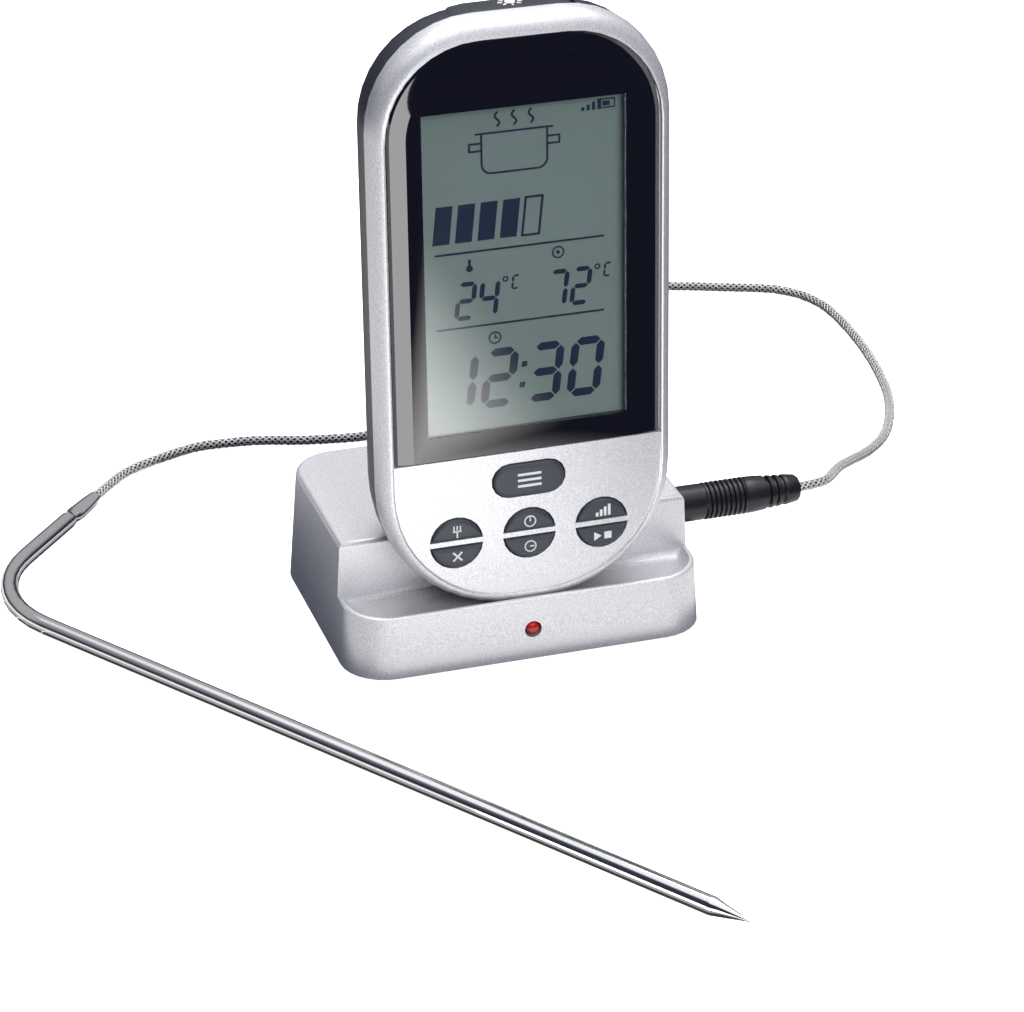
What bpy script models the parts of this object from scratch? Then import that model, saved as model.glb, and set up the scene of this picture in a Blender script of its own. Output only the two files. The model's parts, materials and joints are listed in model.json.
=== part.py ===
"""Wireless meat thermometer: a receiver standing in a transmitter dock, with a plug-in probe on a braided lead.

Frame: +Z up, +X to the right of the display, +Y to the back. The origin is the middle of the dock's underside.
Driving sizes are in millimetres, and MM turns them into Blender's metres.
Receiver pieces are drawn in the receiver's own axes (x across, depth behind the face, height above its lowest
point) and hang on an empty that holds the lean of the dock.
"""

import math

import bmesh
import bpy
from mathutils import Euler, Vector

MM = 0.001
GAP = 0.3  # between neighbouring pieces

# Receiver
HALF_WIDTH, HEIGHT, THICKNESS = 32.2, 130.2, 22.6
TOP_CENTRE, TOP_RADIUS = (9.3, 107.3), 22.9
LOW_CENTRE, LOW_RADIUS = (3.0, 29.2), 29.2
LEAN = math.radians(2.6)
STAND_Y, STAND_Z = -28.25, 12.3  # where the receiver's lowest point stands
PARTING = 5.2  # depth where the silver front meets the dark rear shell
PANEL_FACE, PANEL_BACK, WALL = 0.2, 2.6, 2.0
SCREW_SPOTS = ((-16.5, 121.3), (16.5, 121.3), (-25.0, 33.0), (25.0, 33.0))

# Display
WINDOW_INSET, WINDOW_BOTTOM, WINDOW_BEVEL, WINDOW_BACK = 3.05, 35.8, 4.2, 1.5
RIM_WIDTH, TOP_BAND = 2.95, 1.4  # the rim is wider by the band at the top
VIEW_HALF, VIEW_LOW, VIEW_HIGH = 21.7, 41.2, 111.4
LCD_HALF, LCD_LOW, LCD_HIGH = 25.6, 37.0, 116.0

# Keys
KEY_TOP, KEY_TRAVEL, KEY_FLANGE = -0.45, 0.8, 0.5
FLANGE_FRONT, FLANGE_BACK = 2.9, 3.6
PAIR_RADIUS, PAIR_GAP, PAIR_PITCH, PAIR_HEIGHT = 5.6, 1.7, 16.1, 16.5
MODE_HALF, MODE_RADIUS, MODE_HEIGHT = 7.9, 3.65, 29.05
PAIR_NAMES = (("food_button", "clear_button"), ("minute_button", "second_button"),
              ("doneness_button", "start_stop_button"))
LIGHT_HALF, LIGHT_BACK = 13.0, 13.0

# Batteries, the AAA size
CELL_RADIUS, CELL_LENGTH, CELL_NIPPLE = 5.25, 43.5, 1.0
BAY_HALF, BAY_LOW, BAY_HIGH, BAY_FLOOR = 11.4, 42.0, 93.0, 10.3
DOOR_HALF, DOOR_LOW, DOOR_HIGH, DOOR_SEAT = 13.0, 39.8, 95.2, 21.1

# Dock
BASE_HALF, BASE_TOP_HALF, BASE_HEIGHT = 40.2, 38.7, 26.5
BASE_FRONT, BASE_BACK, FRONT_DRAFT, BACK_DRAFT = -30.5, 30.5, 0.045, 0.075
BASE_CORNER, BASE_WALL, PLATE = 10.0, 2.2, 2.0
LEDGE_HEIGHT, LEDGE_FLOOR, STEP_Y = 14.2, 11.8, -16.4
LED_HEIGHT, LED_RADIUS = 6.9, 1.6
TRAY_HALF, TRAY_FRONT, TRAY_BACK, TRAY_ROOF = 25.0, 2.8, 25.6, 13.2
DOCK_SCREWS = ((-31.0, -20.5, 0), (31.0, -20.5, 0), (-31.5, 20.0, 0), (31.5, 20.0, 0))
FRONT_BOSS_ROOF, REAR_BOSS_ROOF = 10.4, 25.0
SWITCH_HEIGHT, SWITCH_REST = 19.0, -1.5

# Lead and probe
PLUG_Z, PLUG_START, PLUG_END = 15.3, 39.7, 71.8
PIN_RADIUS, PIN_LENGTH = 1.25, 11.0
CABLE_RADIUS, CABLE_POINTS = 1.05, 80
PROBE_RADIUS, PROBE_BORE, PROBE_POINT, PROBE_BEND = 2.0, 1.5, 8.5, 27.0
PROBE_TIP, PROBE_CORNER, PROBE_TAIL = (6.87, -143.13), (-108.88, 28.78), (-74.44, 68.71)
CRIMP_LENGTH = 13.0
# Where the cable is laid, from the plug round behind the dock to the probe
CABLE_ROUTE = (
    (72.1, 0.0, 15.3), (80.0, 3.5, 14.2), (88.5, 15.0, 11.0), (103.0, 32.0, 5.0), (113.2, 46.2, 2.0),
    (121.1, 63.4, 1.1), (125.5, 83.1, 1.05), (127.5, 104.4, 1.05), (126.4, 122.3, 1.05), (119.6, 133.1, 1.05),
    (105.5, 139.5, 1.05), (93.3, 144.0, 1.05), (80.0, 147.0, 1.05), (66.0, 145.5, 1.05), (52.0, 138.0, 1.05),
    (38.0, 124.0, 1.05), (26.0, 107.0, 1.05), (14.0, 92.0, 1.05), (4.0, 84.5, 1.05), (-5.9, 82.7, 1.05),
    (-19.8, 84.8, 1.05), (-31.5, 88.2, 1.05), (-43.7, 89.2, 1.05), (-50.2, 87.7, 1.05), (-57.1, 84.9, 1.05),
    (-63.9, 81.0, 1.2), (-68.8, 75.8, 1.6), (-74.1, 69.1, 2.0),
)

X_AXIS, Y_AXIS, Z_AXIS = Vector((1, 0, 0)), Vector((0, 1, 0)), Vector((0, 0, 1))


def clear_scene():
    for thing in list(bpy.data.objects):
        bpy.data.objects.remove(thing, do_unlink=True)


def finish_colour(name, colour, roughness, metallic=0.0):
    made = bpy.data.materials.new(name)
    made.use_nodes = True
    shader = made.node_tree.nodes["Principled BSDF"]
    shader.inputs["Base Color"].default_value = (*colour, 1.0)
    shader.inputs["Roughness"].default_value = roughness
    shader.inputs["Metallic"].default_value = metallic
    return made


def make_materials():
    return {
        "silver": finish_colour("silver_paint", (0.62, 0.63, 0.66), 0.38, 0.75),
        "charcoal": finish_colour("charcoal_plastic", (0.05, 0.055, 0.065), 0.45),
        "window": finish_colour("black_window", (0.012, 0.012, 0.02), 0.06),
        "lcd": finish_colour("lcd_glass", (0.36, 0.42, 0.39), 0.25),
        "milky": finish_colour("milky_acrylic", (0.85, 0.88, 0.86), 0.3),
        "board": finish_colour("green_board", (0.03, 0.16, 0.07), 0.5),
        "key": finish_colour("grey_key", (0.075, 0.08, 0.095), 0.5),
        "silicone": finish_colour("silicone_mat", (0.5, 0.5, 0.5), 0.7),
        "black": finish_colour("black_moulding", (0.02, 0.02, 0.025), 0.5),
        "steel": finish_colour("stainless_steel", (0.66, 0.66, 0.67), 0.2, 1.0),
        "braid": finish_colour("steel_braid", (0.55, 0.55, 0.54), 0.35, 1.0),
        "contact": finish_colour("plated_contact", (0.75, 0.72, 0.62), 0.3, 1.0),
        "cell": finish_colour("cell_jacket", (0.2, 0.21, 0.23), 0.4),
        "led": finish_colour("red_led", (0.45, 0.01, 0.015), 0.1),
        "bead": finish_colour("sensor_bead", (0.1, 0.09, 0.08), 0.6),
    }


# Mesh building

def link(data, name, material, parent=None):
    made = bpy.data.objects.new(name, data)
    bpy.context.scene.collection.objects.link(made)
    if material:
        data.materials.append(material)
    made.parent = parent
    return made


def place(bm, name, material, parent=None):
    """Turns a bmesh drawn in millimetres into a named object."""
    bmesh.ops.recalc_face_normals(bm, faces=bm.faces)
    bmesh.ops.scale(bm, vec=(MM, MM, MM), verts=bm.verts)
    mesh = bpy.data.meshes.new(name)
    bm.to_mesh(mesh)
    bm.free()
    mesh.shade_smooth()
    mesh.set_sharp_from_angle(angle=math.radians(35))
    return link(mesh, name, material, parent)


def add_loft(bm, rings):
    """A closed skin through rings of equally many points, capped at both ends."""
    corners = [bm.verts.new(p) for p in rings[0]]
    first = bm.faces.new(corners)
    edges = list(first.edges)
    for ring in rings[1:]:
        grown = bmesh.ops.extrude_edge_only(bm, edges=edges)["geom"]
        edges = [g for g in grown if isinstance(g, bmesh.types.BMEdge)]
        fresh = {g for g in grown if isinstance(g, bmesh.types.BMVert)}
        above = []
        for corner, spot in zip(corners, ring):
            partner = next(e.other_vert(corner) for e in corner.link_edges if e.other_vert(corner) in fresh)
            partner.co = spot
            above.append(partner)
        corners = above
    bm.faces.new(corners)


def loft(rings, name, material=None, parent=None):
    bm = bmesh.new()
    add_loft(bm, rings)
    return place(bm, name, material, parent)


def add_box(bm, low, high):
    """A plain block between two corners."""
    corners = bmesh.ops.create_cube(bm, size=1.0)["verts"]
    bmesh.ops.scale(bm, vec=[b - a for a, b in zip(low, high)], verts=corners)
    bmesh.ops.translate(bm, vec=[(a + b) / 2 for a, b in zip(low, high)], verts=corners)


def box(low, high, name, material=None, parent=None, bevel=0.0):
    bm = bmesh.new()
    add_box(bm, low, high)
    if bevel:
        bmesh.ops.bevel(bm, geom=bm.edges[:], offset=bevel, segments=2, profile=0.5, affect="EDGES", material=-1)
    return place(bm, name, material, parent)


def circle(centre, across, along, count):
    """Points round a centre on an ellipse with two half axes."""
    turns = [2 * math.pi * i / count for i in range(count)]
    return [Vector(centre) + math.cos(t) * across + math.sin(t) * along for t in turns]


def add_turned(bm, profile, spot, axis, count=16):
    """A turned solid: profile is (distance along the axis, radius) from end to end."""
    across = X_AXIS if abs(axis.z) > 0.5 else Z_AXIS
    along = axis.cross(across)
    add_loft(bm, [circle(Vector(spot) + axis * s, across * r, along * r, count) for s, r in profile])


def turned(profile, spot, axis, name, material, parent=None, count=16):
    bm = bmesh.new()
    add_turned(bm, profile, spot, axis, count)
    return place(bm, name, material, parent)


def bars(spots, radius, axis, near, far, name, parent=None, count=14):
    """One tool with a round bar at each spot."""
    bm = bmesh.new()
    for spot in spots:
        add_turned(bm, [(near, radius), (far, radius)], spot, axis, count)
    return place(bm, name, None, parent)


def cut(target, tool, operation="DIFFERENCE"):
    """Leaves an exact Boolean on the target; the tool stays as a hidden guide."""
    change = target.modifiers.new(operation.lower(), "BOOLEAN")
    change.operation = operation
    change.solver = "EXACT"
    change.object = tool
    tool.hide_render = True
    tool.display_type = "WIRE"


def wire(points, radius, name, material, parent=None):
    """A round wire or cable along points, with filled ends."""
    curve = bpy.data.curves.new(name, "CURVE")
    curve.dimensions = "3D"
    curve.bevel_depth = radius * MM
    curve.bevel_resolution = 1
    curve.render_resolution_u = 0
    curve.use_fill_caps = True
    spline = curve.splines.new("POLY")
    spline.points.add(len(points) - 1)
    for slot, point in zip(spline.points, points):
        slot.co = (*(Vector(point) * MM), 1.0)
    return link(curve, name, material, parent)


# Outlines

def arc(centre, radius, start, end, count):
    steps = [math.radians(start + (end - start) * i / count) for i in range(count + 1)]
    return [(centre[0] + radius * math.cos(a), centre[1] + radius * math.sin(a)) for a in steps]


def upper_arch(inset, count=9):
    """Right and left top corners of the receiver, as x, height points."""
    x = TOP_CENTRE[0]
    height = TOP_CENTRE[1] - TOP_BAND * min(max(inset / RIM_WIDTH, 0.0), 1.0)
    right = arc((x, height), TOP_RADIUS - inset, 0, 90, count)
    left = arc((-x, height), TOP_RADIUS - inset, 90, 180, count)
    return right + left


def body_outline(inset):
    """The receiver seen from the front, drawn in by an inset."""
    x, height = LOW_CENTRE
    left = arc((-x, height), LOW_RADIUS - inset, 180, 270, 11)
    right = arc((x, height), LOW_RADIUS - inset, 270, 360, 11)
    return left + right + upper_arch(inset)


def window_outline(inset, low):
    """The upper part of the receiver's outline, closed by a straight lower edge."""
    half = HALF_WIDTH - inset
    return [(-half, low), (half, low)] + upper_arch(inset)


def half_disc(x, upper, grow):
    """One key of a split round pair."""
    side = 1 if upper else -1
    radius = PAIR_RADIUS + grow
    start = math.degrees(math.asin((PAIR_GAP / 2 - grow) / radius))
    return [(x + a, PAIR_HEIGHT + side * b) for a, b in arc((0, 0), radius, start, 180 - start, 10)]


def key_outlines(grow):
    """Outline of every front key by name, grown outwards."""
    straight = MODE_HALF - MODE_RADIUS
    pill = arc((straight, MODE_HEIGHT), MODE_RADIUS + grow, -90, 90, 7)
    pill += arc((-straight, MODE_HEIGHT), MODE_RADIUS + grow, 90, 270, 7)
    found = {"mode_button": pill}
    for column, (upper, lower) in enumerate(PAIR_NAMES):
        x = (column - 1) * PAIR_PITCH
        found[upper] = half_disc(x, True, grow)
        found[lower] = half_disc(x, False, grow)
    return found


def at_depth(outline, depth):
    return [(x, depth, height) for x, height in outline]


def body_rings(path):
    """Rings of the receiver's outline at (depth, inset) steps."""
    return [at_depth(body_outline(inset), depth) for depth, inset in path]


def screw_points():
    return [(x, 0, height) for x, height in SCREW_SPOTS]


# Receiver pieces

def front_shell(stuff, frame):
    """Silver front: a crowned rim round a flat face, open at the back."""
    face = [(PANEL_FACE, RIM_WIDTH), (-0.3, 2.8), (-0.35, 2.45), (-0.2, 2.0)]
    rim = [(0.1, 1.55), (0.65, 1.05), (1.4, 0.65), (2.4, 0.35), (3.4, 0.15), (PARTING, 0.0)]
    inside = [(PARTING, WALL), (PANEL_BACK + 0.6, WALL + 0.3), (PANEL_BACK, WALL + 1.2)]
    shell = loft(body_rings(face + rim + inside), "receiver_front_shell", stuff["silver"], frame)
    cut(shell, bars(screw_points(), 2.6, Y_AXIS, PANEL_BACK - 0.7, 7.3, "front_bosses", frame), "UNION")
    cut(shell, bars(screw_points(), 1.15, Y_AXIS, PANEL_BACK, 12.0, "front_pilot_holes", frame))
    seat = window_outline(WINDOW_INSET - 0.15, WINDOW_BOTTOM - GAP)
    cut(shell, loft([at_depth(seat, d) for d in (-3.0, WINDOW_BACK + GAP)], "window_seat", None, frame))
    low, high = (-VIEW_HALF - 1, -3, VIEW_LOW - 1), (VIEW_HALF + 1, 8, VIEW_HIGH + 1)
    cut(shell, box(low, high, "view_opening", None, frame))
    for name, outline in key_outlines(GAP).items():
        cut(shell, loft([at_depth(outline, d) for d in (-3.0, 7.0)], name + "_hole", None, frame))


def rear_shell(stuff, frame):
    """Dark rear half with the battery bay moulded in."""
    start = PARTING + GAP
    outside = [(THICKNESS, 9.2), (21.6, 6.6), (20.0, 4.3), (17.4, 2.3), (14.0, 0.95), (10.0, 0.25), (start, 0.15)]
    inside = [(start, WALL + 0.1), (12.0, WALL + 0.5), (16.0, WALL + 1.7), (19.0, WALL + 4.2), (20.8, WALL + 7.6)]
    shell = loft(body_rings(outside + inside), "receiver_rear_shell", stuff["charcoal"], frame)
    low, high = (-14.6, 9.4, BAY_LOW - 3.6), (14.6, 21.4, BAY_HIGH + 3.6)
    cut(shell, box(low, high, "bay_block", None, frame), "UNION")
    cut(shell, bars(screw_points(), 3.5, Y_AXIS, 9.5, 18.5, "rear_bosses", frame), "UNION")
    cut(shell, bars(screw_points(), 1.3, Y_AXIS, 5.0, 30.0, "rear_screw_holes", frame))
    cut(shell, bars(screw_points(), 2.6, Y_AXIS, 13.0, 30.0, "rear_counterbores", frame))
    low, high = (-DOOR_HALF, DOOR_SEAT, DOOR_LOW), (DOOR_HALF, 30, DOOR_HIGH)
    cut(shell, box(low, high, "door_opening", None, frame))
    low, high = (-BAY_HALF, BAY_FLOOR, BAY_LOW), (BAY_HALF, 30, BAY_HIGH)
    cut(shell, box(low, high, "bay_space", None, frame))
    low, high = (-LIGHT_HALF - GAP, 2, HEIGHT - 6), (LIGHT_HALF + GAP, LIGHT_BACK + GAP, HEIGHT + 5)
    cut(shell, box(low, high, "light_slot", None, frame))


def display(stuff, frame):
    """Window, LCD, its light guide and the rubber strips that join it to the board."""
    skin = [(WINDOW_BACK, 0.0), (1.05, 0.0), (0.7, 0.9), (0.1, WINDOW_BEVEL)]
    rings = [at_depth(window_outline(WINDOW_INSET + i, WINDOW_BOTTOM), d) for d, i in skin]
    loft(rings, "display_window", stuff["window"], frame)
    box((-LCD_HALF, 2.9, LCD_LOW), (LCD_HALF, 4.7, LCD_HIGH), "lcd_panel", stuff["lcd"], frame, 0.15)
    low, high = (-24.6, 5.0, LCD_LOW + 3.4), (24.6, 7.2, LCD_HIGH - 3.4)
    box(low, high, "lcd_light_guide", stuff["milky"], frame, 0.3)
    for name, foot in (("lower_contact_strip", LCD_LOW + 0.4), ("upper_contact_strip", LCD_HIGH - 2.8)):
        box((-23.5, 5.0, foot), (23.5, 7.4, foot + 2.4), name, stuff["silicone"], frame, 0.2)


def keys(stuff, frame):
    """Front keys, each a crowned cap on a flange behind the face, and the mat under them."""
    steps = ((KEY_TOP, -0.9), (KEY_TOP + 0.12, -0.45), (KEY_TOP + 0.45, -0.1), (KEY_TOP + 0.9, 0.0),
             (FLANGE_FRONT, 0.0), (FLANGE_FRONT, KEY_FLANGE), (FLANGE_BACK, KEY_FLANGE))
    stacks = [(depth, key_outlines(grow)) for depth, grow in steps]
    for name in key_outlines(0.0):
        loft([at_depth(shapes[name], depth) for depth, shapes in stacks], name, stuff["key"], frame)
    front = FLANGE_BACK + KEY_TRAVEL + GAP
    box((-22.0, front, 11.2), (22.0, 7.4, 34.0), "keypad_mat", stuff["silicone"], frame, 0.4)


def light_key(stuff, frame):
    """Top key: its crown carries on the dark shell, and a flange inside keeps it in."""
    half, front = LIGHT_HALF, PARTING + GAP
    top = HEIGHT + 0.3
    rows = ((front, 0.5), (front + 0.5, 0.0), (LIGHT_BACK - 0.9, 0.25), (LIGHT_BACK, 1.0))
    rings = []
    for depth, drop in rows:
        crown = [(half, top - 1.3 - drop), (half - 1.0, top - 0.5 - drop), (half - 4.0, top - 0.1 - drop)]
        crown += [(0, top - drop)]
        mirrored = [(-x, height) for x, height in reversed(crown[:-1])]
        rings.append(at_depth([(-half, HEIGHT - 5.3), (half, HEIGHT - 5.3)] + crown + mirrored, depth))
    key = loft(rings, "light_button", stuff["charcoal"], frame)
    foot = HEIGHT - 5.8
    low, high = (-half - 0.9, front + 0.4, foot), (half + 0.9, LIGHT_BACK + 0.9, foot + 0.9)
    cut(key, box(low, high, "light_flange", None, frame), "UNION")
    box((-3.0, 9.4, 118.6), (3.0, 12.6, 123.4), "light_switch", stuff["black"], frame, 0.2)


def receiver_electronics(stuff, frame):
    board = loft(body_rings([(7.7, 3.6), (9.1, 3.6)]), "receiver_board", stuff["board"], frame)
    cut(board, bars(screw_points(), 1.6, Y_AXIS, 5.0, 12.0, "board_holes", frame))
    cut(board, box((-20, 2, 123.4), (20, 15, 140), "board_top_trim", None, frame))
    turned([(9.4, 7.4), (11.8, 7.4), (12.2, 7.0)], (0, 0, 107.5), Y_AXIS, "buzzer", stuff["black"], frame, 20)
    aerial = [(-22.5, 10.0, 50.0), (-22.5, 11.2, 50.9), (-22.5, 12.4, 52.6), (-22.5, 12.4, 98.0)]
    wire(aerial, 0.5, "receiver_antenna", stuff["contact"], frame)


def cell(start, spot, axis, flip, name, material, parent):
    """One AAA cell lying along an axis; flip turns its raised contact to the other end."""
    body = [(0, 3.9), (0.35, 4.85), (0.8, CELL_RADIUS), (CELL_LENGTH - 0.6, CELL_RADIUS),
            (CELL_LENGTH, CELL_RADIUS - 0.6), (CELL_LENGTH, 1.9), (CELL_LENGTH + CELL_NIPPLE, 1.8)]
    total = CELL_LENGTH + CELL_NIPPLE
    profile = [(total - s, r) for s, r in reversed(body)] if flip else body
    turned([(start + s, r) for s, r in profile], spot, axis, name, material, parent, 14)


def leaf_contact(foot, axis, across, inward, name, material, parent=None):
    """A square leaf contact with a raised dimple towards the cell."""
    other = axis.cross(across)
    square = ((-1, -1), (1, -1), (1, 1), (-1, 1))
    steps = ((0.0, 4.0), (0.4, 4.0), (0.4, 2.2), (1.5, 1.5))
    rings = [[foot + axis * rise * inward + across * a * half + other * b * half for a, b in square]
             for rise, half in steps]
    loft(rings, name, material, parent)


def cell_contacts(spots, axis, across, ends, names, material, parent=None):
    """Two leaf contacts at one end of a pair of cells and a plain bridge at the other."""
    for spot, name in zip(spots, names):
        leaf_contact(Vector(spot) + axis * ends[0], axis, across, 1, name, material, parent)
    other = axis.cross(across)
    foot = (Vector(spots[0]) + Vector(spots[1])) / 2 + axis * ends[1]
    reach = (Vector(spots[1]) - Vector(spots[0])).length / 2 + 4.0
    corners = [foot + across * a * reach + other * b * 4.0 for a, b in ((-1, -1), (1, -1), (1, 1), (-1, 1))]
    loft([corners, [p - axis * 0.6 for p in corners]], names[2], material, parent)


def receiver_power(stuff, frame):
    depth = BAY_FLOOR + 0.3 + CELL_RADIUS
    spots = [(-5.6, depth, 0), (5.6, depth, 0)]
    start = (BAY_LOW + BAY_HIGH - CELL_LENGTH - CELL_NIPPLE) / 2
    cell(start, spots[0], Z_AXIS, False, "receiver_cell_left", stuff["cell"], frame)
    cell(start, spots[1], Z_AXIS, True, "receiver_cell_right", stuff["cell"], frame)
    ends = (BAY_LOW + GAP, BAY_HIGH - GAP)
    names = ("receiver_contact_minus", "receiver_contact_plus", "receiver_contact_bridge")
    cell_contacts(spots, Z_AXIS, X_AXIS, ends, names, stuff["contact"], frame)
    low, high = (-DOOR_HALF + GAP, DOOR_SEAT + GAP, DOOR_LOW + GAP), (DOOR_HALF - GAP, THICKNESS, DOOR_HIGH - GAP)
    door = box(low, high, "receiver_battery_door", stuff["charcoal"], frame)
    grip = bmesh.new()
    for height in (85.5, 87.7, 89.9):
        add_box(grip, (-5.5, THICKNESS - 0.6, height - 0.45), (5.5, THICKNESS + 0.4, height + 0.45))
    cut(door, place(grip, "door_grip", None, frame), "UNION")


def screw(spot, axis, tip, head, name, material, parent=None):
    """A pan-head screw between two places on an axis."""
    step = 1 if head > tip else -1
    profile = [(tip, 0.3), (tip + step * 0.9, 0.85), (head - step * 1.5, 0.85), (head - step * 1.5, 2.2),
               (head - step * 0.5, 2.2), (head, 1.5)]
    turned(profile, spot, axis, name, material, parent, 10)


def screws(stuff, frame):
    for number, spot in enumerate(screw_points(), 1):
        screw(spot, Y_AXIS, 3.6, 14.8, f"receiver_screw_{number}", stuff["steel"], frame)
    for number, spot in enumerate(DOCK_SCREWS, 1):
        screw(spot, Z_AXIS, 9.4, 0.6, f"dock_screw_{number}", stuff["steel"])


# Dock

def dock_ring(height, inset):
    """Plan of the dock at a height: a drafted rectangle with round corners, drawn in by an inset."""
    half = BASE_HALF + (BASE_TOP_HALF - BASE_HALF) * height / BASE_HEIGHT - inset
    front = BASE_FRONT + FRONT_DRAFT * height + inset
    back = BASE_BACK - BACK_DRAFT * height - inset
    radius = max(BASE_CORNER - inset, 1.0)
    spots = ((half - radius, front + radius, -90), (half - radius, back - radius, 0),
             (-half + radius, back - radius, 90), (-half + radius, front + radius, 180))
    points = []
    for x, y, start in spots:
        points += arc((x, y), radius, start, start + 90, 7)
    return [(x, y, height) for x, y in points]


def along_x(profile, half, name):
    """A side view of y, z points drawn out across the dock."""
    return loft([[(x, y, z) for y, z in profile] for x in (-half, half)], name)


def ledge_tool():
    """What is cut away above the front ledge: a dished floor inside a thin rim, up to the step."""
    rim = LEDGE_HEIGHT
    steps = [(LEDGE_FLOOR, 5.6), (LEDGE_FLOOR + 0.25, 3.6), (LEDGE_FLOOR + 1.0, 2.0), (rim - 0.3, 1.25), (rim, 1.0),
             (rim, 0.65), (rim - 0.15, 0.25), (rim - 0.6, -0.1), (rim - 0.6, -3.0), (BASE_HEIGHT + 6, -3.0)]
    tool = loft([dock_ring(height, inset) for height, inset in steps], "ledge_space")
    fillet, edge = 2.2, 1.2
    wall = [(60, 60), (STEP_Y + 9, 60), (STEP_Y + 9, BASE_HEIGHT + 1), (STEP_Y + edge, BASE_HEIGHT + 0.02)]
    wall += arc((STEP_Y + edge, BASE_HEIGHT - edge), edge, 90, 180, 4)
    wall += arc((STEP_Y - fillet, LEDGE_FLOOR + fillet), fillet, 360, 275, 5)
    wall += [(STEP_Y - fillet - 0.4, -5), (60, -5)]
    cut(tool, along_x(wall, 60, "step_wall"))
    return tool


def pocket(frame, grow, name):
    """The receiver's own shape grown all round, where it stands in the rear block."""
    steps = [(8.5, 0.2), (14.0, 0.95), (17.4, 2.3), (20.0, 4.3), (21.6, 6.6)]
    rings = body_rings([(depth, inset - grow) for depth, inset in steps] + [(THICKNESS + grow, 8.0 - grow)])
    return loft(rings, name, None, frame)


def dock_shell(stuff, frame):
    """Silver upper shell of the dock."""
    top = BASE_HEIGHT
    skin = [dock_ring(0, 0.0), dock_ring(top - 1.2, 0.0), dock_ring(top - 0.75, 0.12), dock_ring(top - 0.3, 0.45),
            dock_ring(top, 1.2)]
    shell = loft(skin, "dock_shell", stuff["silver"])
    cut(shell, ledge_tool())
    cut(shell, pocket(frame, 0.6, "receiver_pocket"))
    cavity = loft([dock_ring(-3.0, BASE_WALL), dock_ring(top - BASE_WALL, BASE_WALL)], "dock_cavity")
    cut(cavity, box((-60, -60, LEDGE_FLOOR - 2.0), (60, STEP_Y + 2.2, 60), "front_roof"))
    cut(cavity, pocket(frame, 2.4, "pocket_wall"))
    cut(shell, cavity)
    cut(shell, bars(DOCK_SCREWS[:2], 2.9, Z_AXIS, 5.5, FRONT_BOSS_ROOF, "front_posts"), "UNION")
    cut(shell, bars(DOCK_SCREWS[2:], 2.9, Z_AXIS, 5.5, REAR_BOSS_ROOF, "rear_posts"), "UNION")
    cut(shell, bars(DOCK_SCREWS, 1.15, Z_AXIS, 2.0, 9.8, "post_pilot_holes"))
    cut(shell, bars([(0, 0, LED_HEIGHT)], LED_RADIUS + GAP, Y_AXIS, -40, -25, "led_hole", None, 20))
    cut(shell, bars([(0, 0, PLUG_Z)], 3.3, X_AXIS, 33, 45, "socket_hole", None, 20))
    cut(shell, box((-4.2, 24, SWITCH_HEIGHT - 1.6), (4.2, 40, SWITCH_HEIGHT + 1.6), "switch_slot"))


def dock_cover(stuff):
    """Flat underside of the dock with the battery tray standing on it, and the tray's door."""
    inset = BASE_WALL + GAP
    cover = loft([dock_ring(0, inset), dock_ring(PLATE, inset)], "dock_bottom_cover", stuff["charcoal"])
    low, high = (-TRAY_HALF - 1.1, TRAY_FRONT - 1.1, 1.0), (TRAY_HALF + 1.1, TRAY_BACK + 1.1, TRAY_ROOF + 1.1)
    cut(cover, box(low, high, "tray_block"), "UNION")
    cut(cover, bars(DOCK_SCREWS, 3.4, Z_AXIS, 1.0, 5.2, "cover_posts"), "UNION")
    low, high = (-TRAY_HALF, TRAY_FRONT, -3.0), (TRAY_HALF, TRAY_BACK, TRAY_ROOF)
    cut(cover, box(low, high, "tray_space"))
    cut(cover, bars(DOCK_SCREWS, 1.3, Z_AXIS, -3.0, 8.0, "cover_screw_holes"))
    cut(cover, bars(DOCK_SCREWS, 2.6, Z_AXIS, -3.0, 2.5, "cover_counterbores"))
    low, high = (-TRAY_HALF + GAP, TRAY_FRONT + GAP, 0.0), (TRAY_HALF - GAP, TRAY_BACK - GAP, 1.6)
    door = box(low, high, "dock_battery_door", stuff["charcoal"])
    grip = bmesh.new()
    for y in (20.4, 22.4):
        add_box(grip, (-6.0, y - 0.4, -3.0), (6.0, y + 0.4, 0.6))
    cut(door, place(grip, "door_grooves", None))


def dock_power(stuff):
    height = 1.6 + 0.45 + CELL_RADIUS
    spots = [(0, TRAY_FRONT + 0.45 + CELL_RADIUS, height), (0, TRAY_BACK - 0.45 - CELL_RADIUS, height)]
    start = -(CELL_LENGTH + CELL_NIPPLE) / 2
    cell(start, spots[0], X_AXIS, False, "dock_cell_front", stuff["cell"], None)
    cell(start, spots[1], X_AXIS, True, "dock_cell_rear", stuff["cell"], None)
    ends = (-TRAY_HALF + GAP, TRAY_HALF - GAP)
    names = ("dock_contact_minus", "dock_contact_plus", "dock_contact_bridge")
    cell_contacts(spots, X_AXIS, Y_AXIS, ends, names, stuff["contact"])


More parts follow.
